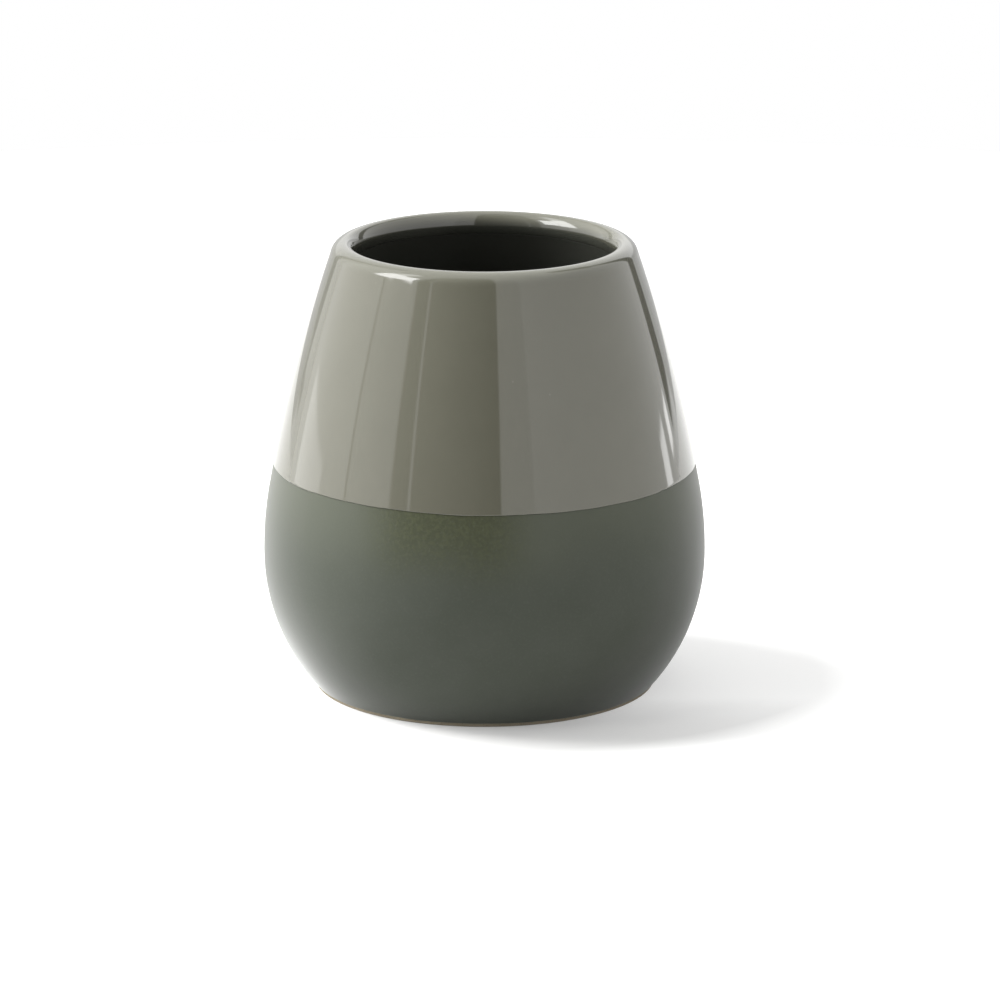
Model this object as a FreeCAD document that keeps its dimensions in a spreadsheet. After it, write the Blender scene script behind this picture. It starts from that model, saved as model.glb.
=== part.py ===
import FreeCAD, Part
import math
import os
import Sketcher
from FreeCAD import Vector

# A stoneware tumbler for toothbrushes: one turned clay pot and the glaze coats on it.
# Its axis is Z and it stands on z = 0. Lengths are in millimetres.
SIZES = [
    ("clay_height", 99.65),     # table to the crest of the clay lip
    ("belly_diameter", 97.7),   # widest point of the clay
    ("belly_height", 29.9),
    ("belly_sweep", 85.4),      # radius of the outline from the belly up to the shoulder
    ("shoulder_rise", 15.5),    # height of the shoulder above the belly
    ("side_sweep", 345.0),      # radius of the long outline from the shoulder to the lip
    ("lip_round", 2.9),         # outer rounding of the clay lip
    ("wall", 3.5),              # clay wall, the same from the lip to the floor
    ("foot_inset", 10.9),       # how far the foot ring stands in from the belly
    ("foot_rise", 0.8),         # upright bare edge of the foot ring
    ("foot_edge_round", 0.35),  # worn edges of the foot ring
    ("foot_ring_width", 4.5),
    ("recess_depth", 1.4),      # hollow inside the foot ring
    ("floor_thickness", 4.4),   # clay between the recess and the inside
    ("floor_round", 10.0),      # inside corner between wall and floor
    ("dip_height", 50.2),       # level line where the two outside coats meet
    ("matt_coat", 0.2),
    ("gloss_coat", 0.35),
    ("gloss_edge_round", 0.2),  # rolled lower edge of the gloss coat
    ("liner_coat", 0.35),
    ("underside_coat", 0.2),
    ("wiped_margin", 0.8),      # bare clay between the underside coat and the foot ring
]

doc = FreeCAD.newDocument("toothbrush_holder")
sheet = doc.addObject("Spreadsheet::Sheet", "sizes")
for row, (alias, value) in enumerate(SIZES, start=1):
    sheet.set(f"A{row}", str(value))
    sheet.setAlias(f"A{row}", alias)
doc.recompute()


def size(alias):
    return float(sheet.get(alias))


# A sketch counts the points of an edge up from 1, and its own axes down from -1.
START, END, CENTRE = range(1, 4)
LEVEL_AXIS, UPRIGHT_AXIS = range(-1, -3, -1)
ORIGIN = (LEVEL_AXIS, START)


class Section:
    """A half section of the pot in the XZ plane: radius along x, height along y."""

    def __init__(self, body, name):
        plane = next(item for item in body.Origin.OriginFeatures if item.Role == "XZ_Plane")
        self.sketch = body.newObject("Sketcher::SketchObject", name)
        self.sketch.AttachmentSupport = [(plane, "")]
        self.sketch.MapMode = "FlatFace"
        self.edges = {}

    def line(self, name, start, end):
        segment = Part.LineSegment(Vector(*start, 0), Vector(*end, 0))
        self.edges[name] = self.sketch.addGeometry(segment, False)

    def arc(self, name, centre, radius, start_angle, end_angle):
        circle = Part.Circle(Vector(*centre, 0), Vector(0, 0, 1), radius)
        self.edges[name] = self.sketch.addGeometry(Part.ArcOfCircle(circle, start_angle, end_angle), False)

    def centre(self, name):
        point = self.sketch.Geometry[self.edges[name]].Center
        return (point.x, point.y)

    def radius(self, name):
        return self.sketch.Geometry[self.edges[name]].Radius

    def point(self, name, which):
        place = self.sketch.getPoint(self.edges[name], which)
        return (place.x, place.y)

    def tie(self, kind, *references):
        places = [self.edges.get(item, item) for item in references]
        self.sketch.addConstraint(Sketcher.Constraint(kind, *places))

    def drive(self, kind, expression, *references):
        places = [self.edges.get(item, item) for item in references]
        value = self.measure(kind, places)
        index = self.sketch.addConstraint(Sketcher.Constraint(kind, *places, value))
        self.sketch.renameConstraint(index, f"driven_{index}")
        self.sketch.setExpression(f"Constraints.driven_{index}", expression)

    def measure(self, kind, places):
        if kind == "Radius":
            return self.sketch.Geometry[places[0]].Radius
        first = self.sketch.getPoint(places[0], places[1])
        second = self.sketch.getPoint(places[2], places[3])
        if kind == "Distance":
            return first.distanceToPoint(second)
        return second.x - first.x if kind == "DistanceX" else second.y - first.y

    def set_out(self, name, which, radius, height):
        self.drive("DistanceX", radius, *ORIGIN, name, which)
        self.drive("DistanceY", height, *ORIGIN, name, which)

    def keep_only(self, names):
        # The other edges stay as construction lines that carry the centres.
        for name, index in self.edges.items():
            if name not in names:
                self.sketch.setConstruction(index, True)


OUTSIDE = ["foot_curve", "belly_curve", "side_curve"]
LIP = ["lip_outside", "lip_inside"]
INSIDE = ["inner_side", "inner_belly", "inner_foot", "floor_corner", "floor_line"]


def draw_clay_outside(section):
    """The clay from the foot up to the throat, as arcs that run smoothly into each other."""
    belly = (size("belly_diameter") / 2, size("belly_height"))
    foot = (belly[0] - size("foot_inset"), size("foot_rise"))

    # Both lower arcs stand upright at the belly, so their centres lie level with it.
    foot_sweep = math.dist(foot, belly) ** 2 / (2 * size("foot_inset"))
    foot_angle = math.asin((foot[1] - belly[1]) / foot_sweep)
    section.arc("foot_curve", (belly[0] - foot_sweep, belly[1]), foot_sweep, foot_angle, 0)
    belly_sweep = size("belly_sweep")
    shoulder_angle = math.asin(size("shoulder_rise") / belly_sweep)
    section.arc("belly_curve", (belly[0] - belly_sweep, belly[1]), belly_sweep, 0, shoulder_angle)

    # The side leaves the shoulder along the belly's tangent and ends on the lip's outer rounding.
    side_sweep = size("side_sweep")
    shoulder = section.point("belly_curve", END)
    side_centre = (shoulder[0] - side_sweep * math.cos(shoulder_angle),
                   shoulder[1] - side_sweep * math.sin(shoulder_angle))
    rounding = size("lip_round")
    lip_angle = math.asin((size("clay_height") - rounding - side_centre[1]) / (side_sweep - rounding))
    crest_radius = side_centre[0] + (side_sweep - rounding) * math.cos(lip_angle)
    crest = (crest_radius, size("clay_height"))
    section.arc("side_curve", side_centre, side_sweep, shoulder_angle, lip_angle)
    section.arc("lip_outside", (crest[0], crest[1] - rounding), rounding, lip_angle, math.pi / 2)

    # The inner rounding is what the wall leaves between the crest and the inner side.
    inner_sweep = side_sweep - size("wall")
    spare = math.dist(crest, side_centre) ** 2 - inner_sweep ** 2
    throat_round = spare / (2 * (crest[1] - side_centre[1] + inner_sweep))
    throat_centre = (crest[0], crest[1] - throat_round)
    throat_angle = math.atan2(throat_centre[1] - side_centre[1], throat_centre[0] - side_centre[0])
    section.arc("lip_inside", throat_centre, throat_round, math.pi / 2, math.pi + throat_angle)

    section.tie("Horizontal", "foot_curve", CENTRE, "foot_curve", END)
    section.tie("Vertical", "lip_outside", CENTRE, "lip_outside", END)
    for lower, upper in zip(OUTSIDE + LIP, (OUTSIDE + LIP)[1:]):
        section.tie("Tangent", lower, END, upper, START)
    section.set_out("belly_curve", START, "sizes.belly_diameter / 2", "sizes.belly_height")
    section.set_out("foot_curve", START, "sizes.belly_diameter / 2 - sizes.foot_inset", "sizes.foot_rise")
    section.drive("DistanceY", "sizes.shoulder_rise", "belly_curve", START, "belly_curve", END)
    section.drive("DistanceY", "sizes.clay_height", *ORIGIN, "lip_outside", END)
    section.drive("Radius", "sizes.belly_sweep", "belly_curve")
    section.drive("Radius", "sizes.side_sweep", "side_curve")
    section.drive("Radius", "sizes.lip_round", "lip_outside")


def draw_clay_inside(section):
    """The inside of the clay, one wall in from the outside, down to the middle of the floor."""
    wall = size("wall")
    side_centre = section.centre("side_curve")
    belly_centre = section.centre("belly_curve")
    foot_centre = section.centre("foot_curve")
    shoulder_angle = math.atan2(side_centre[1] - belly_centre[1], side_centre[0] - belly_centre[0]) + math.pi
    throat = section.point("lip_inside", END)
    throat_angle = math.atan2(throat[1] - side_centre[1], throat[0] - side_centre[0])
    section.arc("inner_side", side_centre, section.radius("side_curve") - wall, shoulder_angle, throat_angle)
    section.arc("inner_belly", belly_centre, section.radius("belly_curve") - wall, 0, shoulder_angle)

    floor_height = size("recess_depth") + size("floor_thickness")
    rounding = size("floor_round")
    inner_radius = section.radius("foot_curve") - wall
    drop = foot_centre[1] - floor_height - rounding
    corner_reach = math.sqrt((inner_radius - rounding) ** 2 - drop ** 2)
    corner_centre = (foot_centre[0] + corner_reach, floor_height + rounding)
    corner_angle = math.atan2(-drop, corner_centre[0] - foot_centre[0])
    section.arc("inner_foot", foot_centre, inner_radius, corner_angle, 0)
    section.arc("floor_corner", corner_centre, rounding, -math.pi / 2, corner_angle)
    section.line("floor_line", (0, floor_height), (corner_centre[0], floor_height))

    section.tie("Coincident", "inner_side", CENTRE, "side_curve", CENTRE)
    section.tie("Coincident", "inner_belly", CENTRE, "belly_curve", CENTRE)
    section.tie("Coincident", "inner_foot", CENTRE, "foot_curve", CENTRE)
    section.tie("Tangent", "lip_inside", END, "inner_side", END)
    section.tie("Tangent", "inner_side", START, "inner_belly", END)
    section.tie("Tangent", "inner_belly", START, "inner_foot", END)
    section.tie("Tangent", "inner_foot", START, "floor_corner", END)
    section.tie("Tangent", "floor_corner", START, "floor_line", END)
    section.tie("Horizontal", "floor_line")
    section.tie("PointOnObject", "floor_line", START, UPRIGHT_AXIS)
    section.drive("DistanceX", "sizes.wall", "inner_belly", START, "belly_curve", START)
    section.drive("Radius", "sizes.floor_round", "floor_corner")
    floor_expression = "sizes.recess_depth + sizes.floor_thickness"
    section.drive("DistanceY", floor_expression, *ORIGIN, "floor_line", START)


def draw_outside_coat(section, names, alias, square_end):
    """A coat of even thickness over the named arcs, on the clay's own centres.

    One end is square to the clay, and the other is cut off level where the two outside coats meet.
    """
    thickness = size(alias)
    square, crossing = (names[0], names[-1]) if square_end == START else (names[-1], names[0])
    level_end = END if square_end == START else START
    bed = f"{crossing}_bed"
    layers = {bed: (crossing, 0)}
    layers.update({f"{name}_face": (name, thickness) for name in names})
    for layer, (name, depth) in layers.items():
        arc = section.sketch.Geometry[section.edges[name]]
        radius = arc.Radius + depth
        angles = [arc.FirstParameter, arc.LastParameter]
        if name == crossing:
            angles[level_end - START] = math.asin((size("dip_height") - arc.Center.y) / radius)
        section.arc(layer, section.centre(name), radius, *angles)
        section.tie("Coincident", layer, CENTRE, name, CENTRE)
    section.tie("Coincident", bed, square_end, crossing, square_end)
    for lower, upper in zip(names, names[1:]):
        section.tie("Tangent", f"{lower}_face", END, f"{upper}_face", START)

    square_face = f"{square}_face"
    section.line("square_edge", section.point(square, square_end), section.point(square_face, square_end))
    section.tie("Perpendicular", "square_edge", START, square, square_end)
    section.tie("Coincident", "square_edge", END, square_face, square_end)
    section.drive("Distance", f"sizes.{alias}", "square_edge", START, "square_edge", END)
    level_face = f"{crossing}_face"
    section.line("level_edge", section.point(bed, level_end), section.point(level_face, level_end))
    section.tie("Coincident", "level_edge", START, bed, level_end)
    section.tie("Coincident", "level_edge", END, level_face, level_end)
    section.tie("Horizontal", "level_edge")
    section.drive("DistanceY", "sizes.dip_height", *ORIGIN, "level_edge", START)

    whole = [name for name in names if name != crossing]
    section.keep_only(whole + list(layers) + ["square_edge", "level_edge"])


def turn(body, section, name):
    feature = body.newObject("PartDesign::Revolution", name)
    feature.Profile = section.sketch
    feature.ReferenceAxis = (section.sketch, ["V_Axis"])
    feature.Angle = 360
    section.sketch.Visibility = False
    doc.recompute()
    return feature


def round_edges(body, base, name, alias, circles):
    """Rounds the circular edges that lie at the given radii and heights."""
    found = []
    for index, edge in enumerate(base.Shape.Edges, start=1):
        if not isinstance(edge.Curve, Part.Circle):
            continue
        place = (edge.Curve.Radius, edge.Curve.Center.z)
        if any(math.dist(place, circle) < size(alias) / 2 for circle in circles):
            found.append(f"Edge{index}")
    fillet = body.newObject("PartDesign::Fillet", name)
    fillet.Base = (base, found)
    fillet.setExpression("Radius", f"sizes.{alias}")
    doc.recompute()


def new_body(label):
    body = doc.addObject("PartDesign::Body", label)
    body.Label = label
    body.Placement = FreeCAD.Placement()
    return body


def make_clay_body():
    body = new_body("clay_body")
    section = Section(body, "clay_section")
    draw_clay_outside(section)
    draw_clay_inside(section)

    # The foot: an upright bare edge, the flat ring that it stands on, and the hollow inside the ring.
    foot = section.point("foot_curve", START)[0]
    ring = foot - size("foot_ring_width")
    recess = size("recess_depth")
    floor_height = recess + size("floor_thickness")
    section.line("foot_edge", (foot, size("foot_rise")), (foot, 0))
    section.line("foot_face", (foot, 0), (ring, 0))
    section.line("ring_inside", (ring, 0), (ring, recess))
    section.line("recess_face", (ring, recess), (0, recess))
    section.line("axis_line", (0, recess), (0, floor_height))
    chain = ["foot_edge", "foot_face", "ring_inside", "recess_face", "axis_line"]
    section.tie("Coincident", "foot_curve", START, "foot_edge", START)
    for before, after in zip(chain, chain[1:]):
        section.tie("Coincident", before, END, after, START)
    section.tie("Coincident", "axis_line", END, "floor_line", START)
    section.tie("Vertical", "foot_edge")
    section.tie("PointOnObject", "foot_edge", END, LEVEL_AXIS)
    section.tie("PointOnObject", "foot_face", END, LEVEL_AXIS)
    section.tie("Vertical", "ring_inside")
    section.tie("Horizontal", "recess_face")
    section.tie("PointOnObject", "axis_line", START, UPRIGHT_AXIS)
    section.drive("DistanceX", "sizes.foot_ring_width", "foot_face", END, "foot_face", START)
    section.drive("DistanceY", "sizes.recess_depth", "ring_inside", START, "ring_inside", END)

    pot = turn(body, section, "turned_pot")
    round_edges(body, pot, "worn_foot", "foot_edge_round", [(foot, 0), (ring, 0)])
    return body


def dipped_arc():
    """The place in OUTSIDE of the arc that the level line round the pot crosses."""
    joints = [size("belly_height"), size("belly_height") + size("shoulder_rise")]
    return sum(size("dip_height") > joint for joint in joints)


def make_matt_glaze():
    body = new_body("matt_glaze")
    section = Section(body, "matt_section")
    draw_clay_outside(section)
    draw_clay_inside(section)
    draw_outside_coat(section, OUTSIDE[:dipped_arc() + 1], "matt_coat", START)
    turn(body, section, "brushed_coat")
    return body


def make_gloss_glaze():
    body = new_body("gloss_glaze")
    section = Section(body, "gloss_section")
    draw_clay_outside(section)
    draw_clay_inside(section)
    draw_outside_coat(section, OUTSIDE[dipped_arc():] + LIP, "gloss_coat", END)
    rim = section.point("level_edge", END)
    dipped = turn(body, section, "dipped_coat")

    # The lower edge of the thicker coat is rolled over by its own surface tension.
    round_edges(body, dipped, "rolled_edge", "gloss_edge_round", [rim])
    return body


def make_liner_glaze():
    body = new_body("liner_glaze")
    section = Section(body, "liner_section")
    draw_clay_outside(section)
    draw_clay_inside(section)
    coat = size("liner_coat")
    for name in INSIDE[:-1]:
        arc = section.sketch.Geometry[section.edges[name]]
        angles = (arc.FirstParameter, arc.LastParameter)
        section.arc(f"{name}_coat", section.centre(name), arc.Radius - coat, *angles)
        section.tie("Coincident", f"{name}_coat", CENTRE, name, CENTRE)
    floor_start = section.point("floor_line", START)
    floor_end = section.point("floor_line", END)
    section.line("floor_line_coat", (0, floor_start[1] + coat), (floor_end[0], floor_end[1] + coat))
    for upper, lower in zip(INSIDE, INSIDE[1:-1]):
        section.tie("Tangent", f"{upper}_coat", START, f"{lower}_coat", END)
    section.tie("Tangent", "floor_corner_coat", START, "floor_line_coat", END)
    section.tie("Horizontal", "floor_line_coat")
    section.tie("PointOnObject", "floor_line_coat", START, UPRIGHT_AXIS)
    section.line("coat_axis", floor_start, (0, floor_start[1] + coat))
    section.tie("Coincident", "coat_axis", START, "floor_line", START)
    section.tie("Coincident", "coat_axis", END, "floor_line_coat", START)
    section.drive("DistanceY", "sizes.liner_coat", "floor_line", START, "floor_line_coat", START)

    # It meets the gloss coat at the throat, square to the wall.
    section.line("coat_throat", section.point("inner_side", END), section.point("inner_side_coat", END))
    section.tie("Perpendicular", "coat_throat", START, "inner_side", END)
    section.tie("Coincident", "coat_throat", END, "inner_side_coat", END)
    section.keep_only(INSIDE + [f"{name}_coat" for name in INSIDE] + ["coat_axis", "coat_throat"])
    turn(body, section, "poured_coat")
    return body


def make_underside_glaze():
    body = new_body("underside_glaze")
    section = Section(body, "underside_section")
    recess = size("recess_depth")
    low = recess - size("underside_coat")
    width = size("belly_diameter") / 2 - size("foot_inset") - size("foot_ring_width") - size("wiped_margin")
    corners = [(0, low), (width, low), (width, recess), (0, recess)]
    sides = ["coat_face", "coat_rim", "coat_seat", "coat_axis"]
    for side, start, end in zip(sides, corners, corners[1:] + corners[:1]):
        section.line(side, start, end)
    for side, follower in zip(sides, sides[1:] + sides[:1]):
        section.tie("Coincident", side, END, follower, START)
    section.tie("Horizontal", "coat_face")
    section.tie("Vertical", "coat_rim")
    section.tie("Horizontal", "coat_seat")
    section.tie("PointOnObject", "coat_axis", START, UPRIGHT_AXIS)
    section.tie("PointOnObject", "coat_axis", END, UPRIGHT_AXIS)
    ring_inside = "sizes.belly_diameter / 2 - sizes.foot_inset - sizes.foot_ring_width"
    section.set_out("coat_rim", END, f"{ring_inside} - sizes.wiped_margin", "sizes.recess_depth")
    section.drive("DistanceY", "sizes.underside_coat", "coat_rim", START, "coat_rim", END)
    turn(body, section, "brushed_underside")
    return body


pieces = [
    make_clay_body(),
    make_matt_glaze(),
    make_gloss_glaze(),
    make_liner_glaze(),
    make_underside_glaze(),
]
doc.recompute()

for item in doc.Objects:
    if "Invalid" in item.State or "Error" in item.State:
        raise RuntimeError(f"{item.Label} failed to build: {item.State}")
for piece in pieces:
    if piece.Shape.isNull() or not piece.Shape.isValid() or len(piece.Shape.Solids) != 1:
        raise RuntimeError(f"{piece.Label} is not one sound solid")

os.makedirs("parts", exist_ok=True)
for piece in pieces:
    piece.Shape.exportStep(f"parts/{piece.Label}.step")
    box = piece.Shape.BoundBox
    heights = f"z {box.ZMin:.3f} to {box.ZMax:.3f}"
    print(f"{piece.Label}: {piece.Shape.Volume:.1f} mm3, {heights}, width {box.XLength:.2f}")
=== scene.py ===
import math

import bpy
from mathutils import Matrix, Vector, noise


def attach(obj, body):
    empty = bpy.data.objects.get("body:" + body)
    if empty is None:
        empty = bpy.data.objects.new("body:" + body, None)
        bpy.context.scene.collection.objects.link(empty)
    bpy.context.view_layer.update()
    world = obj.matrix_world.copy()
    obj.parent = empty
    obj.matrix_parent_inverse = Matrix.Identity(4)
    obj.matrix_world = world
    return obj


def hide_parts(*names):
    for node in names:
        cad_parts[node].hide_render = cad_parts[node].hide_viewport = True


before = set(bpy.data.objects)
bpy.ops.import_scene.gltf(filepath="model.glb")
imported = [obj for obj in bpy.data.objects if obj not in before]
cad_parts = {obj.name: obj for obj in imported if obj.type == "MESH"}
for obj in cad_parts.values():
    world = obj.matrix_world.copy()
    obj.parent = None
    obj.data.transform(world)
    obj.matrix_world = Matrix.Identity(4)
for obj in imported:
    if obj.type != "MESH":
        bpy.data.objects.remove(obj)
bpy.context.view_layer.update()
scene = bpy.context.scene
scene.view_settings.view_transform = "Standard"
print("frame loaded:", sorted(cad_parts))

# node settings and values that the finishes share
inColour = {"data_type": "RGBA"}  # mix of two colours: 0 share, 6 and 7 the colours, output 2
smoothly = {"interpolation_type": "SMOOTHSTEP"}  # map range: 0 value, 1 and 2 from, 3 and 4 to
multiply = {"operation": "MULTIPLY"}
cloudSpan = (0.3, 0.7)  # nearly all values of a noise texture lie between these
ceramicIor = 1.5  # fired clay and glaze alike


def addNode(tree, kind, settings=None, inputs=None):  # inputs by socket name or number
    made = tree.nodes.new(kind)
    for name, value in (settings or {}).items():
        setattr(made, name, value)
    for socket, source in (inputs or {}).items():
        if isinstance(source, bpy.types.NodeSocket):
            tree.links.new(source, made.inputs[socket])
        else:
            made.inputs[socket].default_value = source
    return made


def toLinear(hexColour):
    channels = [int(hexColour[place:place + 2], 16) / 255 for place in (1, 3, 5)]
    linear = [c / 12.92 if c <= 0.04045 else ((c + 0.055) / 1.055) ** 2.4 for c in channels]
    return (*linear, 1.0)


def metres(millimetres):
    return millimetres / 1000


def perMetre(millimetres):  # pattern scale that repeats about once in this length
    return 1000.0 / millimetres


# the turned clay pot: sizes in millimetres, the same as its solids have, but for the inside of the lip
pot = {
    "height": 99.65,  # table to the crest of the clay lip
    "bellyRadius": 48.85,
    "bellyHeight": 29.9,
    "bellySweep": 85.4,  # outline radius from the belly to the shoulder
    "shoulderRise": 15.5,
    "sideSweep": 345.0,  # long outline from the shoulder to the lip
    "lipRound": 2.9,
    "lipEdge": 1.2,  # small round inside the crest
    "lipEdgeTurn": 46.0,  # degrees that it turns before the throat takes over
    "throatRound": 3.65,
    "wall": 3.5,
    "footInset": 10.9,
    "footRise": 0.8,
    "footEdgeRound": 0.35,
    "footRingWidth": 4.5,
    "recessDepth": 1.4,
    "floorThickness": 4.4,
    "floorRound": 10.0,
    "dipHeight": 50.2,  # line where the two outside coats meet
    "segments": 360,
    "sharpFrom": 50.0,  # degrees between faces from which an edge shows
}


def polar(radius, turn):
    return Vector((radius * math.cos(turn), radius * math.sin(turn)))


# the clay section as arcs: centre, radius, start, end, and 1 where the clay lies on the centre's side
def wallArcs():
    wall = pot["wall"]
    belly = Vector((pot["bellyRadius"], pot["bellyHeight"]))
    foot = Vector((belly.x - pot["footInset"], pot["footRise"]))
    footSweep = (belly - foot).length_squared / (2 * pot["footInset"])
    footCentre = belly - Vector((footSweep, 0))
    footTurn = math.asin((foot.y - belly.y) / footSweep)
    bellySweep, sideSweep, lipRound = pot["bellySweep"], pot["sideSweep"], pot["lipRound"]
    bellyCentre = belly - Vector((bellySweep, 0))
    shoulderTurn = math.asin(pot["shoulderRise"] / bellySweep)
    sideCentre = bellyCentre + polar(bellySweep - sideSweep, shoulderTurn)
    lipTurn = math.asin((pot["height"] - lipRound - sideCentre.y) / (sideSweep - lipRound))
    crest = Vector((sideCentre.x + (sideSweep - lipRound) * math.cos(lipTurn), pot["height"]))
    edgeTurn = math.pi / 2 + math.radians(pot["lipEdgeTurn"])
    edgeRound, throatRound = pot["lipEdge"], pot["throatRound"]
    edgeCentre = crest - Vector((0, edgeRound))
    throatCentre = edgeCentre + polar(edgeRound - throatRound, edgeTurn)
    shoulder = bellyCentre + polar(bellySweep - wall, shoulderTurn)
    away = shoulder - throatCentre
    reach = throatRound + away.dot(polar(1.0, shoulderTurn))
    innerSweep = (away.length_squared - throatRound ** 2) / (2 * reach)
    innerCentre = shoulder + polar(-innerSweep, shoulderTurn)
    throatTurn = math.atan2(throatCentre.y - innerCentre.y, throatCentre.x - innerCentre.x)
    floorHeight, floorRound = pot["recessDepth"] + pot["floorThickness"], pot["floorRound"]
    drop = footCentre.y - floorHeight - floorRound
    cornerReach = math.sqrt((footSweep - wall - floorRound) ** 2 - drop ** 2)
    cornerCentre = Vector((footCentre.x + cornerReach, floorHeight + floorRound))
    cornerTurn = math.atan2(-drop, cornerReach)
    return {
        "foot": (footCentre, footSweep, footTurn, 0.0, 1),
        "belly": (bellyCentre, bellySweep, 0.0, shoulderTurn, 1),
        "side": (sideCentre, sideSweep, shoulderTurn, lipTurn, 1),
        "lipOutside": (crest - Vector((0, lipRound)), lipRound, lipTurn, math.pi / 2, 1),
        "lipEdge": (edgeCentre, edgeRound, math.pi / 2, edgeTurn, 1),
        "throat": (throatCentre, throatRound, edgeTurn, math.pi + throatTurn, 1),
        "innerSide": (innerCentre, innerSweep, throatTurn, shoulderTurn, -1),
        "innerBelly": (bellyCentre, bellySweep - wall, shoulderTurn, 0.0, -1),
        "innerFoot": (footCentre, footSweep - wall, 0.0, cornerTurn, -1),
        "floorCorner": (cornerCentre, floorRound, cornerTurn, -math.pi / 2, -1),
    }


arcs = wallArcs()
outsideArcs = ["foot", "belly"]  # below the side, which the dip line divides
lipArcs = ["lipOutside", "lipEdge", "throat"]
insideArcs = ["innerSide", "innerBelly", "innerFoot", "floorCorner"]


def wallAt(arc, turn):  # a station on an arc: point on the clay, direction out of it
    centre, radius, _, _, side = arc
    return centre + polar(radius, turn), side * polar(1.0, turn)


def sweep(arc, spacing):  # stations along an arc, three steps at least
    _, radius, first, last, _ = arc
    count = max(3, math.ceil(radius * abs(last - first) / spacing))
    return [wallAt(arc, first + (last - first) * step / count) for step in range(count + 1)]


def chain(names, spacing):
    stations = []
    for name in names:
        stations += sweep(arcs[name], spacing)[1 if stations else 0:]
    return stations


def turnSection(name, sectionAt, closed):  # revolve a section that may change a little round the pot
    segments = pot["segments"]
    columns = [sectionAt(2 * math.pi * step / segments) for step in range(segments)]
    points = len(columns[0])
    verts, faces, rows = [], [], []
    for row in range(points):
        onAxis = not closed and row in (0, points - 1)
        start = len(verts)
        for step in range(1 if onAxis else segments):
            turn = 2 * math.pi * step / segments
            radius, height = columns[step][row]
            radius = 0.0 if onAxis else radius
            verts.append((metres(radius * math.cos(turn)), metres(radius * math.sin(turn)), metres(height)))
        rows.append([start] * segments if onAxis else list(range(start, start + segments)))
    pairs = list(zip(rows, rows[1:] + rows[:1])) if closed else list(zip(rows, rows[1:]))
    for lower, upper in pairs:
        for step in range(segments):
            after = (step + 1) % segments
            corners = [lower[step], lower[after], upper[after], upper[step]]
            faces.append(list(dict.fromkeys(corners)))
    mesh = bpy.data.meshes.new(name)
    mesh.from_pydata(verts, [], faces)
    mesh.polygons.foreach_set("use_smooth", [True] * len(faces))
    mesh.validate()
    mesh.set_sharp_from_angle(angle=math.radians(pot["sharpFrom"]))
    piece = bpy.data.objects.new(name, mesh)
    scene.collection.objects.link(piece)
    return piece


def dress(piece, material, node):
    piece.data.materials.append(material)
    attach(piece, "root")
    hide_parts(node)
    print(f"{piece.name}: {len(piece.data.polygons)} faces")


def newMaterial(name):
    made = bpy.data.materials.new(name)
    made.use_nodes = True
    made.node_tree.nodes.clear()
    return made, made.node_tree


def wave(turn, ripples):  # a closed wavy line round the pot: ripples per turn, height, phase
    return sum(height * math.sin(count * turn + phase) for count, height, phase in ripples)


# clay body: cast stoneware, bare only at the wiped foot and the ring it stands on
clayBody = {
    "spacing": 3.0,  # millimetres between rings of the mesh, hidden under the coats
    "roundSteps": 5,
    "recessRings": 12,
    "floorRings": 10,
    "buff": "#98907d",
    "toasted": "#7f7563",  # where the fire caught the bare edge
    "toastSize": 9.0,
    "grit": "#6f5f4a",
    "gritSize": 0.45,
    "gritSpan": (0.12, 0.3),  # of that size: full colour within the first, none past the second
    "gritShare": 0.6,
    "roughness": 0.82,
    "toothRelief": 0.35,
    "toothDepth": 0.06,
}


def makeClayBody():
    foot, edge = pot["bellyRadius"] - pot["footInset"], pot["footEdgeRound"]
    ring, recess = foot - pot["footRingWidth"], pot["recessDepth"]
    roundSteps, recessRings = clayBody["roundSteps"], clayBody["recessRings"]
    floorRings = clayBody["floorRings"]
    steps = [math.pi / 2 * step / roundSteps for step in range(roundSteps + 1)]
    underside = [(ring * step / recessRings, recess) for step in range(recessRings + 1)]
    ringRound = [Vector((ring + edge, edge)) - polar(edge, turn) for turn in steps]
    footRound = [Vector((foot - edge, edge)) + polar(edge, turn - math.pi / 2) for turn in steps]
    rest = [point for point, _ in chain(list(arcs), clayBody["spacing"])]
    corner = rest[-1]
    floor = [(corner.x * (1 - step / floorRings), corner.y) for step in range(1, floorRings + 1)]
    section = underside + [tuple(point) for point in ringRound + footRound + rest] + floor
    return turnSection("clay_body_fired", lambda turn: section, closed=False)


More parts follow.
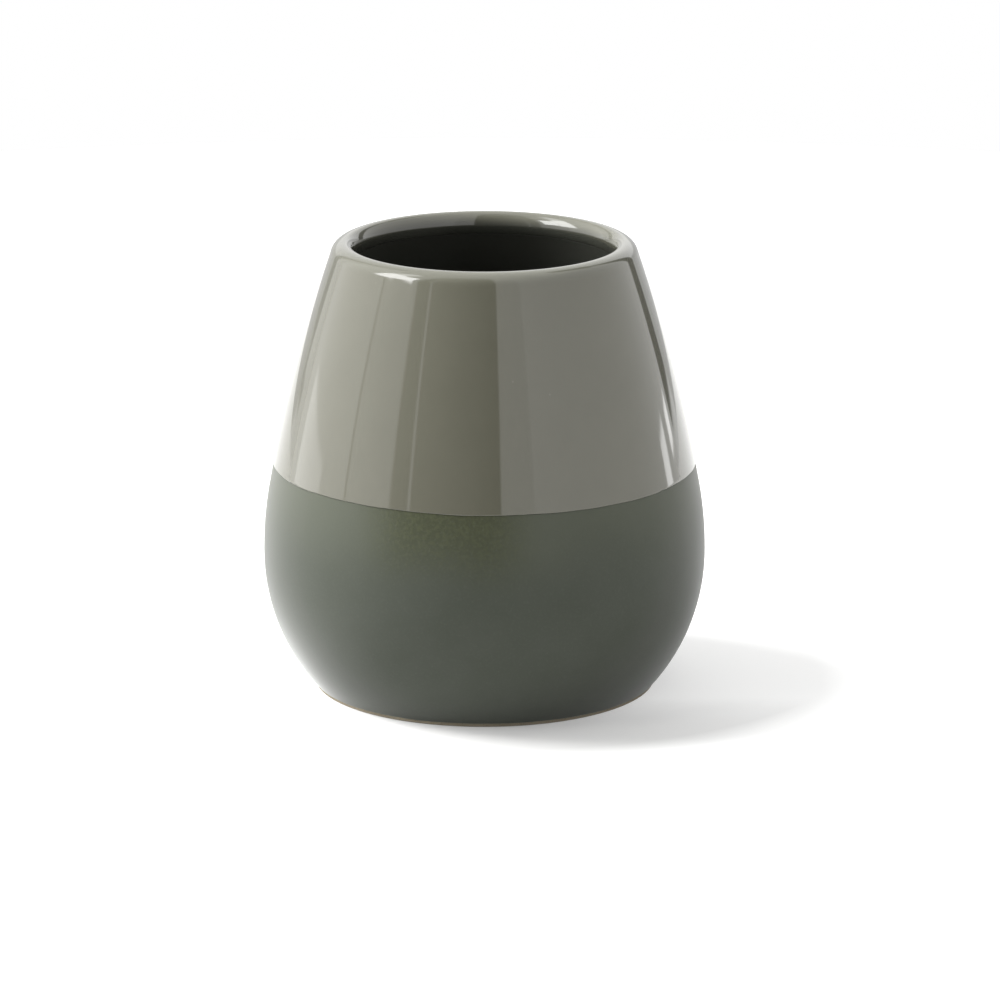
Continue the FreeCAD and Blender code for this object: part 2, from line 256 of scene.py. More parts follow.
# cast, wiped and fired bare: dry and buff to the eye, with fine dark grit and toasted clouds
def bareStoneware():
    made, tree = newMaterial("bare stoneware")
    place = addNode(tree, "ShaderNodeTexCoord").outputs["Object"]
    clouds = addNode(tree, "ShaderNodeTexNoise", None, {
        "Vector": place, "Scale": perMetre(clayBody["toastSize"]), "Detail": 4.0})
    body = addNode(tree, "ShaderNodeMix", inColour, {
        0: clouds.outputs[0], 6: toLinear(clayBody["buff"]), 7: toLinear(clayBody["toasted"])})
    grains = addNode(tree, "ShaderNodeTexVoronoi", None, {
        "Vector": place, "Scale": perMetre(clayBody["gritSize"])})
    specks = addNode(tree, "ShaderNodeMapRange", None, {
        0: grains.outputs["Distance"], 1: clayBody["gritSpan"][0], 2: clayBody["gritSpan"][1],
        3: clayBody["gritShare"], 4: 0.0})
    colour = addNode(tree, "ShaderNodeMix", inColour, {
        0: specks.outputs[0], 6: body.outputs[2], 7: toLinear(clayBody["grit"])})
    tooth = addNode(tree, "ShaderNodeBump", None, {
        "Strength": clayBody["toothRelief"], "Distance": metres(clayBody["toothDepth"]),
        "Height": grains.outputs["Distance"]})
    shader = addNode(tree, "ShaderNodeBsdfPrincipled", None, {
        "Base Color": colour.outputs[2], "Roughness": clayBody["roughness"], "IOR": ceramicIor,
        "Normal": tooth.outputs[0]})
    addNode(tree, "ShaderNodeOutputMaterial", None, {"Surface": shader.outputs[0]})
    return made


dress(makeClayBody(), bareStoneware(), "clay_body")


# the dip line that both outside coats share
dipLine = {
    "ripples": [(2, 0.10, 0.6), (3, 0.07, 2.1), (7, 0.05, 4.0), (13, 0.035, 1.2), (29, 0.02, 3.3)],
    "inset": 1.6,  # how far the wall has drawn in from the belly at the line
    "notchTurn": -34.3,  # degrees round from +X, where a bubble left a nick in the gloss edge
    "notchHeight": 0.25,
    "notchWidth": 0.7,
}


def dipHeight(turn):
    radius = pot["bellyRadius"] - dipLine["inset"]
    away = (turn - math.radians(dipLine["notchTurn"]) + math.pi) % (2 * math.pi) - math.pi
    nick = dipLine["notchHeight"] * math.exp(-(away * radius / dipLine["notchWidth"]) ** 2)
    return pot["dipHeight"] + wave(turn, dipLine["ripples"]) + nick


def sideTurn(height):  # where on the side arc the clay reaches this height
    centre, radius = arcs["side"][:2]
    return math.asin((height - centre.y) / radius)


def quarterRound(distance, reach):  # 0 at an edge, rising as a quarter circle to 1
    if distance >= reach:
        return 1.0
    return math.sqrt(max(0.0, 1 - (1 - distance / reach) ** 2))


def around(point, turn):  # a point of the section, turned to its place, in millimetres
    return Vector((point.x * math.cos(turn), point.x * math.sin(turn), point.y))


def steppedDistances(length, count, endSteps, bothEnds):  # rings along a coat, finer at its ends
    inner = endSteps[-1]
    far = length - inner if bothEnds else length
    last = count - 1 if bothEnds else count
    middle = [inner + (far - inner) * step / count for step in range(1, last + 1)]
    tail = [length - step for step in reversed(endSteps)] if bothEnds else []
    return list(endSteps) + middle + tail


# matt coat: from the wiped foot up to the dip line
mattGlaze = {
    "coat": 0.2,
    "spacing": 1.5,
    "endSteps": [0.0, 0.03, 0.08, 0.16, 0.3, 0.6],  # finer rings near both ends, mm from the edge
    "endRound": 0.16,
    "startShare": 0.45,  # thickness left at the very edge, as a share of the coat
    "bareFoot": 0.12,  # clay left bare above the foot edge
    "footRipples": [(3, 0.05, 0.4), (5, 0.04, 2.9), (11, 0.035, 1.0), (23, 0.03, 5.1)],
    "sway": 0.02,  # brushed unevenness, mm
    "swaySize": 16.0,
    "dark": "#40443b",
    "light": "#4a4d46",
    "mottleSize": 11.0,
    "olive": "#3e412d",  # where the gloss bled into it, below the line at the front
    "paleOliveSheen": "#53564b",  # and thinner farther round, painted lighter there as sheen of the right card near the line
    "oliveReach": 19.0,
    "oliveShare": 0.75,
    "oliveMiddle": -8.0,  # the strong patch lies a little left of the front
    "oliveCore": 7.0,  # full to either side of its middle
    "oliveWidth": 22.0,  # and gone from here
    "ragSize": 26.0,  # the bleed ends unevenly
    "ragHeight": 12.0,
    "fleck": "#54584f",
    "fleckSpan": (0.5, 0.8),  # of the grain's values: none up to the first, most from the second
    "fleckShare": 0.22,
    "grainSize": 0.55,  # real grain is about 0.1 mm; drawn coarser so that it shows
    "grainRelief": 0.12,
    "grainDepth": 0.02,
    "curdle": "#53573f",  # the two melts curdled where they met
    "curdleSize": 0.9,
    "curdleSpan": (0.4, 0.68),
    "curdleShare": 0.38,
    "curdleRelief": 0.5,
    "curdleDepth": 0.2,
    "roughness": 0.45,
    "roughnessSway": 0.03,
    "specular": 0.1,
    "bloom": 0.52,  # pale sheen of the crystals where the wall turns away
    "bloomRoughness": 0.38,
}


def makeMattGlaze():
    foot, belly, side = arcs["foot"], arcs["belly"], arcs["side"]
    bedStations = chain(outsideArcs, clayBody["spacing"])
    footLength = foot[1] * (foot[3] - foot[2])
    bellyLength = belly[1] * (belly[3] - belly[2])
    count = math.ceil((footLength + bellyLength) / mattGlaze["spacing"])

    def sectionAt(turn):
        low = mattGlaze["bareFoot"] + wave(turn, mattGlaze["footRipples"])
        topTurn = sideTurn(dipHeight(turn))
        length = footLength + bellyLength + side[1] * (topTurn - side[2]) - low
        loop = []
        for distance in steppedDistances(length, count, mattGlaze["endSteps"], True):
            along = low + distance
            if along < footLength:
                point, out = wallAt(foot, foot[2] + along / foot[1])
            elif along < footLength + bellyLength:
                point, out = wallAt(belly, belly[2] + (along - footLength) / belly[1])
            else:
                point, out = wallAt(side, side[2] + (along - footLength - bellyLength) / side[1])
            fullness = quarterRound(min(distance, length - distance), mattGlaze["endRound"])
            share = mattGlaze["startShare"] + (1 - mattGlaze["startShare"]) * fullness
            sway = noise.noise(around(point, turn) / mattGlaze["swaySize"])
            loop.append(point + out * (mattGlaze["coat"] * share + mattGlaze["sway"] * sway * fullness))
        bed = [wallAt(side, topTurn)[0]]
        bed += [wallAt(side, side[2] + (topTurn - side[2]) / 2)[0]]
        bed += [point for point, _ in reversed(bedStations[1:])]
        bed += [wallAt(foot, foot[2] + low / foot[1])[0]]
        return [tuple(point) for point in loop + bed]

    return turnSection("matt_glaze_fired", sectionAt, closed=True)


# brushed on and fired dry: micro-crystals scatter the light to a broad, soft sheen over dark grey-green
def mattStonewareGlaze():
    made, tree = newMaterial("matt stoneware glaze")
    place = addNode(tree, "ShaderNodeTexCoord").outputs["Object"]
    clouds = addNode(tree, "ShaderNodeTexNoise", None, {
        "Vector": place, "Scale": perMetre(mattGlaze["mottleSize"]), "Detail": 5.0, "Roughness": 0.55})
    base = addNode(tree, "ShaderNodeMix", inColour, {
        0: clouds.outputs[0], 6: toLinear(mattGlaze["dark"]), 7: toLinear(mattGlaze["light"])})
    # the olive bleed: strongest at the dip line, with a patch at the front; farther round it is partly painted
    # sheen
    axes = addNode(tree, "ShaderNodeSeparateXYZ", None, {0: place})
    patches = addNode(tree, "ShaderNodeTexNoise", None, {
        "Vector": place, "Scale": perMetre(mattGlaze["ragSize"]), "Detail": 3.0})
    rag = metres(mattGlaze["ragHeight"])
    ragged = addNode(tree, "ShaderNodeMath", {"operation": "MULTIPLY_ADD"}, {
        0: patches.outputs[0], 1: rag, 2: axes.outputs["Z"]})
    bleedAndSheen = addNode(tree, "ShaderNodeMapRange", smoothly, {
        0: ragged.outputs[0], 1: metres(pot["dipHeight"] - mattGlaze["oliveReach"]) + rag / 2,
        2: metres(pot["dipHeight"]) + rag / 2, 3: 0.0, 4: mattGlaze["oliveShare"]})
    across = addNode(tree, "ShaderNodeMath", {"operation": "SUBTRACT"}, {
        0: axes.outputs["X"], 1: metres(mattGlaze["oliveMiddle"])})
    sideways = addNode(tree, "ShaderNodeMath", {"operation": "ABSOLUTE"}, {0: across.outputs[0]})
    patch = addNode(tree, "ShaderNodeMapRange", smoothly, {
        0: sideways.outputs[0], 1: metres(mattGlaze["oliveCore"]), 2: metres(mattGlaze["oliveWidth"]),
        3: 1.0, 4: 0.0})
    # pale olive away from the patch: the bleed's tint, lightened as painted sheen
    stainAndSheen = addNode(tree, "ShaderNodeMix", inColour, {
        0: patch.outputs[0], 6: toLinear(mattGlaze["paleOliveSheen"]), 7: toLinear(mattGlaze["olive"])})
    tinted = addNode(tree, "ShaderNodeMix", inColour, {
        0: bleedAndSheen.outputs[0], 6: base.outputs[2], 7: stainAndSheen.outputs[2]})
    # fine grain all over, and coarser curds in the patch
    grain = addNode(tree, "ShaderNodeTexNoise", None, {
        "Vector": place, "Scale": perMetre(mattGlaze["grainSize"]), "Detail": 2.0})
    flecks = addNode(tree, "ShaderNodeMapRange", None, {
        0: grain.outputs[0], 1: mattGlaze["fleckSpan"][0], 2: mattGlaze["fleckSpan"][1],
        3: 0.0, 4: mattGlaze["fleckShare"]})
    curds = addNode(tree, "ShaderNodeTexNoise", None, {
        "Vector": place, "Scale": perMetre(mattGlaze["curdleSize"]), "Detail": 2.0})
    lumps = addNode(tree, "ShaderNodeMapRange", smoothly, {
        0: curds.outputs[0], 1: mattGlaze["curdleSpan"][0], 2: mattGlaze["curdleSpan"][1],
        3: 0.0, 4: mattGlaze["curdleShare"]})
    zone = addNode(tree, "ShaderNodeMath", multiply, {0: bleedAndSheen.outputs[0], 1: patch.outputs[0]})
    curdled = addNode(tree, "ShaderNodeMath", multiply, {0: lumps.outputs[0], 1: zone.outputs[0]})
    grained = addNode(tree, "ShaderNodeMix", inColour, {
        0: flecks.outputs[0], 6: tinted.outputs[2], 7: toLinear(mattGlaze["fleck"])})
    colour = addNode(tree, "ShaderNodeMix", inColour, {
        0: curdled.outputs[0], 6: grained.outputs[2], 7: toLinear(mattGlaze["curdle"])})
    dry = addNode(tree, "ShaderNodeMapRange", None, {
        0: clouds.outputs[0], 1: cloudSpan[0], 2: cloudSpan[1],
        3: mattGlaze["roughness"] - mattGlaze["roughnessSway"],
        4: mattGlaze["roughness"] + mattGlaze["roughnessSway"]})
    skin = addNode(tree, "ShaderNodeBump", None, {
        "Strength": mattGlaze["grainRelief"], "Distance": metres(mattGlaze["grainDepth"]),
        "Height": grain.outputs[0]})
    lumpy = addNode(tree, "ShaderNodeBump", None, {
        "Strength": mattGlaze["curdleRelief"], "Distance": metres(mattGlaze["curdleDepth"]),
        "Height": curdled.outputs[0], "Normal": skin.outputs[0]})
    shader = addNode(tree, "ShaderNodeBsdfPrincipled", None, {
        "Base Color": colour.outputs[2], "Roughness": dry.outputs[0], "IOR": ceramicIor,
        "Normal": lumpy.outputs[0], "Specular IOR Level": mattGlaze["specular"],
        "Sheen Weight": mattGlaze["bloom"], "Sheen Roughness": mattGlaze["bloomRoughness"]})
    addNode(tree, "ShaderNodeOutputMaterial", None, {"Surface": shader.outputs[0]})
    return made


dress(makeMattGlaze(), mattStonewareGlaze(), "matt_glaze")


# gloss coat: the rim was dipped, from the line up and over the lip to the throat
glossGlaze = {
    "coat": 0.35,
    "spacing": 1.1,
    "lipSpacing": 0.2,
    "bedSpacing": 0.6,  # coarser against the clay, where it is hidden
    "bedRings": 16,
    "edgeSteps": [0.0, 0.02, 0.05, 0.09, 0.14, 0.2, 0.3, 0.45, 0.7, 1.1, 1.6],  # mm up from the dip line
    "edgeRoll": 0.14,  # height over which the edge rolls up to the full coat
    "edgeShare": 0.85,  # thickness at the very edge, as a share of the coat
    "bead": 0.012,  # extra where surface tension drew the edge up
    "beadPlace": 0.55,
    "beadWidth": 0.45,
    "ripple": 0.014,  # slow waves of the melt, mm
    "rippleSize": 22.0,
    "rippleEnd": 6.0,  # they die out over this height, so the lip itself stays true
    "deep": "#59584c",
    "pale": "#5f5e52",
    "mottleSize": 13.0,
    "lipPale": "#66665b",  # the melt runs thin over the crest
    "lipPaleDepth": 2.5,
    "lipPaleShare": 0.7,
    "throat": "#343530",  # painted shade darkening into the throat, blending into the liner's colour where the coats meet
    "throatStart": 0.7,  # mm below the crest
    "throatFade": 2.8,  # and fully from this depth
    "throatShare": 0.95,
    "crestWidth": 0.4,  # only inside the crest, from this far in
    "speck": "#77776b",
    "speckSize": 0.3,
    "speckCore": 0.3,  # part of a pinhole that has its full colour
    "speckShare": 0.35,
    "speckSpacing": 7.0,
    "speckless": 0.6,  # share of the places that have none
    "peelSize": 1.6,
    "peelRelief": 0.05,
    "peelDepth": 0.01,
    "roughness": 0.08,
    "roughnessSway": 0.01,
    "skin": 0.9,  # clear glassy skin over the coloured melt
    "skinRoughness": 0.03,
}


def makeGlossGlaze():
    side = arcs["side"]
    lipStations = chain(lipArcs, glossGlaze["lipSpacing"])
    bedLip = chain(lipArcs, glossGlaze["bedSpacing"])
    rings = glossGlaze["bedRings"]
    count = math.ceil((pot["height"] - pot["dipHeight"]) / glossGlaze["spacing"])

    def sectionAt(turn):
        lowTurn = sideTurn(dipHeight(turn))
        length = side[1] * (side[3] - lowTurn)
        loop = []
        for distance in steppedDistances(length, count, glossGlaze["edgeSteps"], False):
            point, out = wallAt(side, lowTurn + distance / side[1])
            fullness = quarterRound(distance, glossGlaze["edgeRoll"])
            share = glossGlaze["edgeShare"] + (1 - glossGlaze["edgeShare"]) * fullness
            offset = (distance - glossGlaze["beadPlace"]) / glossGlaze["beadWidth"]
            bead = glossGlaze["bead"] * math.exp(-offset ** 2) * fullness
            ripple = glossGlaze["ripple"] * noise.noise(around(point, turn) / glossGlaze["rippleSize"])
            fade = min(1.0, (length - distance) / glossGlaze["rippleEnd"])
            loop.append(point + out * (glossGlaze["coat"] * share + bead + ripple * fullness * fade))
        loop += [point + out * glossGlaze["coat"] for point, out in lipStations[1:]]
        bed = [point for point, _ in reversed(bedLip)]
        bed += [wallAt(side, side[3] + (lowTurn - side[3]) * ring / rings)[0] for ring in range(1, rings + 1)]
        return [tuple(point) for point in loop + bed]

    return turnSection("gloss_glaze_fired", sectionAt, closed=True)


# dipped and fired to glass: sharp reflections, colour that drifts with depth, a few faint pinholes
def glossStonewareGlaze():
    made, tree = newMaterial("gloss stoneware glaze")
    place = addNode(tree, "ShaderNodeTexCoord").outputs["Object"]
    clouds = addNode(tree, "ShaderNodeTexNoise", None, {
        "Vector": place, "Scale": perMetre(glossGlaze["mottleSize"]), "Detail": 5.0, "Roughness": 0.6})
    drift = addNode(tree, "ShaderNodeMix", inColour, {
        0: clouds.outputs[0], 6: toLinear(glossGlaze["deep"]), 7: toLinear(glossGlaze["pale"])})
    # paler over the crest, then painted shade down into the throat, towards the liner's colour
    axes = addNode(tree, "ShaderNodeSeparateXYZ", None, {0: place})
    thin = addNode(tree, "ShaderNodeMapRange", smoothly, {
        0: axes.outputs["Z"], 1: metres(pot["height"] - glossGlaze["lipPaleDepth"]),
        2: metres(pot["height"]), 3: 0.0, 4: glossGlaze["lipPaleShare"]})
    broken = addNode(tree, "ShaderNodeMix", inColour, {
        0: thin.outputs[0], 6: drift.outputs[2], 7: toLinear(glossGlaze["lipPale"])})
    level = addNode(tree, "ShaderNodeCombineXYZ", None, {0: axes.outputs["X"], 1: axes.outputs["Y"]})
    radius = addNode(tree, "ShaderNodeVectorMath", {"operation": "LENGTH"}, {0: level.outputs[0]})
    crest = arcs["lipEdge"][0].x
    inward = addNode(tree, "ShaderNodeMapRange", smoothly, {
        0: radius.outputs["Value"], 1: metres(crest - glossGlaze["crestWidth"]), 2: metres(crest),
        3: 1.0, 4: 0.0})
    # painted shade: darker with depth below the crest, inside the lip only
    deeper = addNode(tree, "ShaderNodeMapRange", None, {
        0: axes.outputs["Z"], 1: metres(pot["height"] - glossGlaze["throatStart"]),
        2: metres(pot["height"] - glossGlaze["throatFade"]), 3: 0.0, 4: glossGlaze["throatShare"]})
    fading = addNode(tree, "ShaderNodeMath", multiply, {0: inward.outputs[0], 1: deeper.outputs[0]})
    shadedInThroat = addNode(tree, "ShaderNodeMix", inColour, {
        0: fading.outputs[0], 6: broken.outputs[2], 7: toLinear(glossGlaze["throat"])})
    # pinholes in some cells of a loose grid
    cells = addNode(tree, "ShaderNodeTexVoronoi", None, {
        "Vector": place, "Scale": perMetre(glossGlaze["speckSpacing"])})
    reach = glossGlaze["speckSize"] / glossGlaze["speckSpacing"]
    dots = addNode(tree, "ShaderNodeMapRange", None, {
        0: cells.outputs["Distance"], 1: reach * glossGlaze["speckCore"], 2: reach,
        3: glossGlaze["speckShare"], 4: 0.0})
    pick = addNode(tree, "ShaderNodeSeparateColor", None, {0: cells.outputs["Color"]})
    few = addNode(tree, "ShaderNodeMath", {"operation": "GREATER_THAN"}, {
        0: pick.outputs[0], 1: glossGlaze["speckless"]})
    pinholes = addNode(tree, "ShaderNodeMath", multiply, {0: dots.outputs[0], 1: few.outputs[0]})
    colour = addNode(tree, "ShaderNodeMix", inColour, {
        0: pinholes.outputs[0], 6: shadedInThroat.outputs[2], 7: toLinear(glossGlaze["speck"])})
    peel = addNode(tree, "ShaderNodeTexNoise", None, {
        "Vector": place, "Scale": perMetre(glossGlaze["peelSize"]), "Detail": 1.0})
    skin = addNode(tree, "ShaderNodeBump", None, {
        "Strength": glossGlaze["peelRelief"], "Distance": metres(glossGlaze["peelDepth"]),
        "Height": peel.outputs[0]})
    smooth = addNode(tree, "ShaderNodeMapRange", None, {
        0: clouds.outputs[0], 1: cloudSpan[0], 2: cloudSpan[1],
        3: glossGlaze["roughness"] - glossGlaze["roughnessSway"],
        4: glossGlaze["roughness"] + glossGlaze["roughnessSway"]})
    shader = addNode(tree, "ShaderNodeBsdfPrincipled", None, {
        "Base Color": colour.outputs[2], "Roughness": smooth.outputs[0], "IOR": ceramicIor,
        "Normal": skin.outputs[0], "Coat Weight": glossGlaze["skin"],
        "Coat Roughness": glossGlaze["skinRoughness"], "Coat IOR": ceramicIor})
    addNode(tree, "ShaderNodeOutputMaterial", None, {"Surface": shader.outputs[0]})
    return made


dress(makeGlossGlaze(), glossStonewareGlaze(), "gloss_glaze")


# liner: poured in and out again, on the inner wall and the floor
linerGlaze = {
    "coat": 0.35,
    "spacing": 1.6,
    "floorRings": 12,
    "ripple": 0.02,
    "rippleSize": 24.0,
    "rippleEnd": 5.0,  # true where it meets the gloss coat
    "deep": "#34352f",
    "pale": "#3b3c37",
    "mottleSize": 14.0,
    "roughness": 0.4,
    "roughnessSway": 0.03,
}


def makeLinerGlaze():
    wallStations = chain(insideArcs, linerGlaze["spacing"])
    bedStations = chain(insideArcs, clayBody["spacing"])
    top, corner = wallStations[0][0], wallStations[-1][0]
    rings, upward = linerGlaze["floorRings"], Vector((0, 1))
    floorRadii = [corner.x * (1 - ring / rings) for ring in range(1, rings + 1)]
    floorStations = [(Vector((radius, corner.y)), upward) for radius in floorRadii]

    def sectionAt(turn):
        face = []
        for point, out in wallStations + floorStations:
            ripple = linerGlaze["ripple"] * noise.noise(around(point, turn) / linerGlaze["rippleSize"])
            if point.x > corner.x:
                fade = min(1.0, (top.y - point.y) / linerGlaze["rippleEnd"])
            else:
                fade = point.x / corner.x
            face.append(point + out * (linerGlaze["coat"] + ripple * max(0.0, fade)))
        bed = [point for point, _ in reversed(bedStations + floorStations)]
        return [tuple(point) for point in bed + face]

    return turnSection("liner_glaze_fired", sectionAt, closed=False)


# poured satin glaze: smooth and dark inside, with a soft reflection
def linerStonewareGlaze():
    made, tree = newMaterial("satin liner glaze")
    place = addNode(tree, "ShaderNodeTexCoord").outputs["Object"]
    clouds = addNode(tree, "ShaderNodeTexNoise", None, {
        "Vector": place, "Scale": perMetre(linerGlaze["mottleSize"]), "Detail": 4.0})
    colour = addNode(tree, "ShaderNodeMix", inColour, {
        0: clouds.outputs[0], 6: toLinear(linerGlaze["deep"]), 7: toLinear(linerGlaze["pale"])})
    satin = addNode(tree, "ShaderNodeMapRange", None, {
        0: clouds.outputs[0], 1: cloudSpan[0], 2: cloudSpan[1],
        3: linerGlaze["roughness"] - linerGlaze["roughnessSway"],
        4: linerGlaze["roughness"] + linerGlaze["roughnessSway"]})
    shader = addNode(tree, "ShaderNodeBsdfPrincipled", None, {
        "Base Color": colour.outputs[2], "Roughness": satin.outputs[0], "IOR": ceramicIor})
    addNode(tree, "ShaderNodeOutputMaterial", None, {"Surface": shader.outputs[0]})
    return made


dress(makeLinerGlaze(), linerStonewareGlaze(), "liner_glaze")


# underside coat: the matt glaze again, brushed into the shallow recess inside the foot ring
undersideGlaze = {
    "coat": 0.2,
    "margin": 0.8,  # bare clay between this coat and the ring
    "ripples": [(3, 0.10, 1.0), (7, 0.07, 0.2), (16, 0.05, 2.0)],
    "rimRound": 0.12,
    "rimSteps": 4,
    "rings": 14,
}


def makeUndersideGlaze():
    reach = pot["bellyRadius"] - pot["footInset"] - pot["footRingWidth"] - undersideGlaze["margin"]
    recess, rim, rings = pot["recessDepth"], undersideGlaze["rimRound"], undersideGlaze["rings"]
    low = recess - undersideGlaze["coat"]
    steps = [math.pi / 2 * step / undersideGlaze["rimSteps"] for step in range(undersideGlaze["rimSteps"] + 1)]

    def sectionAt(turn):
        edge = reach + wave(turn, undersideGlaze["ripples"])
        face = [((edge - rim) * ring / rings, low) for ring in range(rings + 1)]
        roll = [(edge - rim + rim * math.sin(step), low + rim - rim * math.cos(step)) for step in steps[1:]]
        seat = [(edge, recess)] + [(edge * (1 - ring / rings), recess) for ring in range(1, rings + 1)]
        return face + roll + seat

    return turnSection("underside_glaze_fired", sectionAt, closed=False)


dress(makeUndersideGlaze(), mattStonewareGlaze(), "underside_glaze")


# studio light tent: white cloth all round, panels told by direction as seen from the pot
# azimuth 0 is towards the camera, positive to the camera's right; angles in degrees
tent = {
    "roof": 1.1,
    # from, to, low, high, brightness at from, brightness at to, softness of the edges
    "panels": [
        (-200.0, -140.0, 8.0, 57.0, 1.1, 0.9, 4.0),  # cloth behind, brighter above the table
        (144.0, 200.0, 8.0, 57.0, 1.1, 1.1, 4.0),
        (-200.0, -140.0, -30.0, 8.0, 0.65, 0.65, 4.0),
        (144.0, 200.0, -30.0, 8.0, 0.65, 0.65, 4.0),
        (-52.0, 9.0, 60.0, 78.0, 0.6, 0.55, 8.0),  # front opening with the dim room behind it
        (-52.0, 9.0, -30.0, 65.0, 0.36, 0.07, 1.2),
        (-41.7, -40.3, -30.0, 65.0, 1.1, 1.1, 0.4),  # light seam in the opening
        (9.0, 27.0, -30.0, 57.0, 0.9, 0.92, 1.0),  # right reflector card, folded twice
        (27.0, 95.0, -30.0, 57.0, 1.1, 0.98, 1.5),
        (95.0, 129.0, -30.0, 57.0, 0.98, 1.0, 1.5),
        (127.5, 134.0, -30.0, 57.0, 1.0, 1.0, 0.6),  # bright rim of the card
        (134.0, 143.5, -4.4, 62.0, 0.12, 0.12, 0.8),  # dark gap behind the card, wider at its top
        (128.0, 148.0, 46.0, 62.0, 0.12, 0.12, 1.0),
        (127.0, 131.0, -4.0, -2.0, 3.0, 3.0, 0.5),  # light caught at the foot of the card
        (116.0, 122.0, -4.5, -1.0, 3.0, 3.0, 0.8),
        (-140.0, -130.0, -30.0, 57.0, 0.95, 1.05, 0.8),  # cloth beside the left panel
        (-147.5, -140.5, -3.4, 57.0, 0.4, 0.4, 1.2),  # dark gap between the two cloths
        (-143.0, -136.5, -4.5, -3.4, 0.5, 0.5, 0.8),
        (-130.0, -80.5, -30.0, 57.0, 1.35, 1.6, 1.0),  # left soft panel, brightest at its foot
        (-124.0, -100.0, -5.0, 1.0, 2.2, 2.2, 1.0),
        (-80.5, -53.0, -30.0, 57.0, 1.4, 1.2, 0.8),  # second left panel
        (-81.2, -79.8, -30.0, 57.0, 0.7, 0.7, 0.4),  # seam between the two
        (-93.0, -74.0, 44.0, 60.0, 3.5, 3.5, 4.0),  # glow of the lamp through the left panels
        (-93.0, -74.0, 20.0, 46.0, 6.5, 8.0, 4.0),
        (-74.0, -57.0, 22.0, 42.0, 8.0, 8.0, 2.0),
    ],
}


def lightTent():
    world = bpy.data.worlds.new("light tent")
    scene.world = world
    world.use_nodes = True
    tree = world.node_tree
    tree.nodes.clear()
    towards = addNode(tree, "ShaderNodeTexCoord").outputs["Generated"]
    axes = addNode(tree, "ShaderNodeSeparateXYZ", None, {0: towards})
    front = addNode(tree, "ShaderNodeMath", multiply, {0: axes.outputs["Y"], 1: -1.0})
    bearing = addNode(tree, "ShaderNodeMath", {"operation": "ARCTAN2"}, {
        0: axes.outputs["X"], 1: front.outputs[0]})
    climb = addNode(tree, "ShaderNodeMath", {"operation": "ARCSINE"}, {0: axes.outputs["Z"]})
    angles = [addNode(tree, "ShaderNodeMath", {"operation": "DEGREES"}, {0: angle.outputs[0]}).outputs[0]
              for angle in (bearing, climb)]
    level = tent["roof"]
    for left, right, low, high, startLevel, endLevel, soft in tent["panels"]:
        masks = []
        for angle, first, last in ((angles[0], left, right), (angles[1], low, high)):
            away = addNode(tree, "ShaderNodeMath", {"operation": "SUBTRACT"}, {
                0: angle, 1: (first + last) / 2})
            spread = addNode(tree, "ShaderNodeMath", {"operation": "ABSOLUTE"}, {0: away.outputs[0]})
            half = (last - first) / 2
            mask = addNode(tree, "ShaderNodeMapRange", smoothly, {
                0: spread.outputs[0], 1: half - soft / 2, 2: half + soft / 2, 3: 1.0, 4: 0.0})
            masks.append(mask.outputs[0])
        window = addNode(tree, "ShaderNodeMath", multiply, {0: masks[0], 1: masks[1]})
        shade = addNode(tree, "ShaderNodeMapRange", None, {
            0: angles[0], 1: left, 2: right, 3: startLevel, 4: endLevel})
        level = addNode(tree, "ShaderNodeMix", {"data_type": "FLOAT"}, {
            0: window.outputs[0], 2: level, 3: shade.outputs[0]}).outputs[0]
    ray = addNode(tree, "ShaderNodeLightPath")  # straight to the camera the cloth is plain white
    direct = addNode(tree, "ShaderNodeMath", {"operation": "MAXIMUM"}, {
        0: ray.outputs["Is Camera Ray"], 1: ray.outputs["Is Transmission Ray"]})
    strength = addNode(tree, "ShaderNodeMix", {"data_type": "FLOAT"}, {
        0: direct.outputs[0], 2: level, 3: 1.0})
    cloth = addNode(tree, "ShaderNodeBackground", None, {
        "Color": (1, 1, 1, 1), "Strength": strength.outputs[0]})
    addNode(tree, "ShaderNodeOutputWorld", None, {"Surface": cloth.outputs[0]})


lightTent()
print("light tent:", len(tent["panels"]), "panels")


# key lamp outside the left panels: their cloth spreads it, so it lights the pot and isn't mirrored in it
keyLamp = {"bearing": -103.0, "climb": 41.0, "spread": 26.0, "strength": 5.2}


def makeKeyLamp():
    data = bpy.data.lights.new("key_lamp", "SUN")
    data.energy = keyLamp["strength"]
    data.angle = math.radians(keyLamp["spread"])
    lamp = bpy.data.objects.new("key_lamp", data)
    bearing, climb = math.radians(keyLamp["bearing"]), math.radians(keyLamp["climb"])
    level = math.cos(climb)
    source = Vector((math.sin(bearing) * level, -math.cos(bearing) * level, math.sin(climb)))
    lamp.location = source
    lamp.rotation_euler = source.to_track_quat("Z", "Y").to_euler()
    lamp.visible_glossy = False
    scene.collection.objects.link(lamp)


makeKeyLamp()
print("key lamp set")


# floor: round white card, in metres, a little overexposed as the camera sees it, as the photograph has it
floorCard = {
    "radius": 0.6,
    "sides": 96,
    "drop": 0.00002,  # just below the foot
    "colour": "#cdcdcc",
    "lift": 0.45,  # white added for the camera beside and behind the pot, none just in front
    "liftFrom": (-0.056, -0.016),  # from front to back
    "farLift": 0.6,  # and a little more all round, at a distance
    "farFrom": (0.050, 0.088),  # from the middle of the pot outwards
}


def makeFloor():
    sides = floorCard["sides"]
    rim = [polar(floorCard["radius"], 2 * math.pi * side / sides) for side in range(sides)]
    mesh = bpy.data.meshes.new("floor_card")
    mesh.from_pydata([(point.x, point.y, -floorCard["drop"]) for point in rim], [], [list(range(sides))])
    floor = bpy.data.objects.new("floor_card", mesh)
    scene.collection.objects.link(floor)
    mesh.materials.append(whitePaperCard())


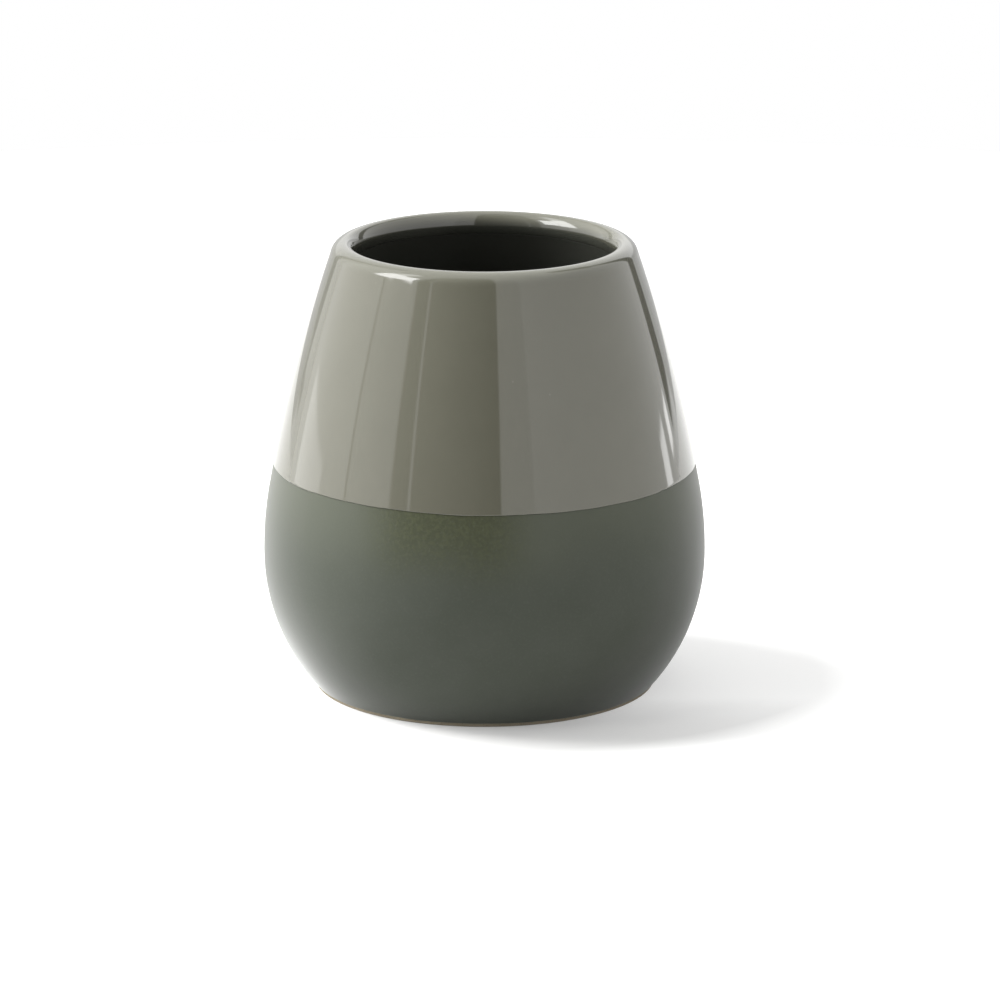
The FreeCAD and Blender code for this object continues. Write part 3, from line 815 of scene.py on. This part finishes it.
# uncoated card: even and matt, no gloss of its own
def whitePaperCard():
    made, tree = newMaterial("white paper card")
    paper = addNode(tree, "ShaderNodeBsdfDiffuse", None, {"Color": toLinear(floorCard["colour"])})
    ray = addNode(tree, "ShaderNodeLightPath")
    place = addNode(tree, "ShaderNodeTexCoord").outputs["Object"]
    reach = addNode(tree, "ShaderNodeVectorMath", {"operation": "LENGTH"}, {0: place})
    far = addNode(tree, "ShaderNodeMapRange", smoothly, {
        0: reach.outputs["Value"], 1: floorCard["farFrom"][0], 2: floorCard["farFrom"][1],
        3: 0.0, 4: floorCard["farLift"]})
    axes = addNode(tree, "ShaderNodeSeparateXYZ", None, {0: place})
    near = addNode(tree, "ShaderNodeMapRange", None, {
        0: axes.outputs["Y"], 1: floorCard["liftFrom"][0], 2: floorCard["liftFrom"][1],
        3: 0.0, 4: floorCard["lift"]})
    white = addNode(tree, "ShaderNodeMath", {"operation": "MAXIMUM"}, {0: far.outputs[0], 1: near.outputs[0]})
    lift = addNode(tree, "ShaderNodeMath", multiply, {
        0: ray.outputs["Is Camera Ray"], 1: white.outputs[0]})
    glow = addNode(tree, "ShaderNodeEmission", None, {"Strength": lift.outputs[0]})
    both = addNode(tree, "ShaderNodeAddShader", None, {0: paper.outputs[0], 1: glow.outputs[0]})
    below = addNode(tree, "ShaderNodeNewGeometry").outputs["Backfacing"]  # clear there, to show the foot
    clear = addNode(tree, "ShaderNodeBsdfTransparent")
    oneSided = addNode(tree, "ShaderNodeMixShader", None, {0: below, 1: both.outputs[0], 2: clear.outputs[0]})
    addNode(tree, "ShaderNodeOutputMaterial", None, {"Surface": oneSided.outputs[0]})
    return made


makeFloor()
print("floor laid")


# camera: a long lens, a little above the rim; lens and sensor in millimetres, places in metres
view = {
    "lens": 211.0,
    "sensor": 36.0,
    "place": (0.0, -1.2574, 0.3799),
    "aim": (0.00343, -0.00223, 0.04162),
}


def makeCamera():
    data = bpy.data.cameras.new("camera")
    data.lens = view["lens"]
    data.sensor_width = view["sensor"]
    camera = bpy.data.objects.new("camera", data)
    camera.location = view["place"]
    look = Vector(view["aim"]) - Vector(view["place"])
    camera.rotation_euler = look.to_track_quat("-Z", "Y").to_euler()
    scene.collection.objects.link(camera)
    scene.camera = camera


makeCamera()
print("camera set")
